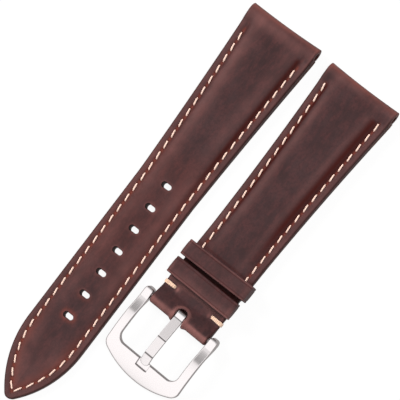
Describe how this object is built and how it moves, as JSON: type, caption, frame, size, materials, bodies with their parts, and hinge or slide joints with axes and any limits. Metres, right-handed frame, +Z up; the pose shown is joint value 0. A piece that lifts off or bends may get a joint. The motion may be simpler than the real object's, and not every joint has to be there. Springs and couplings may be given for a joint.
{
  "type": "watch strap",
  "caption": "Padded leather watch strap in two halves, with tang buckle, spring bar, fixed and sliding keepers.",
  "frame": {"origin": "centre of the bounding box at the surface that the halves lie on", "axes": "+Y runs along the halves towards their lug ends, +X from the tail half to the buckle half, +Z up"},
  "size_m": [0.0492, 0.1206, 0.0072],
  "materials": {
    "leather": "waxed brown pull-up",
    "lining": "smooth brown lining",
    "filler": "bonded leather, dyed edge",
    "thread": "waxed cream thread",
    "steel": "satin stainless",
    "spring": "drawn spring wire"
  },
  "bodies": {
    "buckle_half": {"buckle_upper": "leather", "buckle_filler": "filler", "buckle_lining": "lining", "buckle_needle_thread": "thread", "buckle_bobbin_thread": "thread", "fixed_keeper": "leather", "tack_stitch_left": "thread", "tack_stitch_right": "thread"},
    "buckle": {"buckle_frame": "steel", "spring_bar_tube": "steel", "spring_bar_spring": "spring"},
    "tongue": {"buckle_tongue": "steel"},
    "bar_pin_left": {"spring_bar_pin_left": "steel"},
    "bar_pin_right": {"spring_bar_pin_right": "steel"},
    "floating_keeper": {"floating_keeper": "leather"},
    "tail_half": {"tail_upper": "leather", "tail_filler": "filler", "tail_lining": "lining", "tail_needle_thread": "thread", "tail_bobbin_thread": "thread"}
  },
  "joints": [
    {"name": "buckle_hinge", "type": "hinge", "parent": "buckle_half", "child": "buckle", "pos_m": [0.01254, -0.01572, 0.00337], "axis": [-1, 0, 0], "range_deg": [-75, 30]},
    {"name": "tongue_hinge", "type": "hinge", "parent": "buckle", "child": "tongue", "pos_m": [0.01254, -0.01572, 0.00337], "axis": [-1, 0, 0], "range_deg": [0, 70]},
    {"name": "left_pin_slide", "type": "slide", "parent": "buckle", "child": "bar_pin_left", "axis": [1, 0, 0], "range_m": [0, 0.0011], "stiffness_N_per_m": 400, "springref_m": -0.0012, "deforming": ["spring_bar_spring"]},
    {"name": "right_pin_slide", "type": "slide", "parent": "buckle", "child": "bar_pin_right", "axis": [-1, 0, 0], "range_m": [0, 0.0011], "stiffness_N_per_m": 400, "springref_m": -0.0012, "deforming": ["spring_bar_spring"]},
    {"name": "keeper_slide", "type": "slide", "parent": "buckle_half", "child": "floating_keeper", "axis": [0, 0.9998, -0.0208], "range_m": [-0.0008, 0.0157]},
    {"name": "tail_lift", "type": "slide", "parent": "buckle_half", "child": "tail_half", "axis": [0, 0, 1], "range_m": [0, 0.03]}
  ]
}
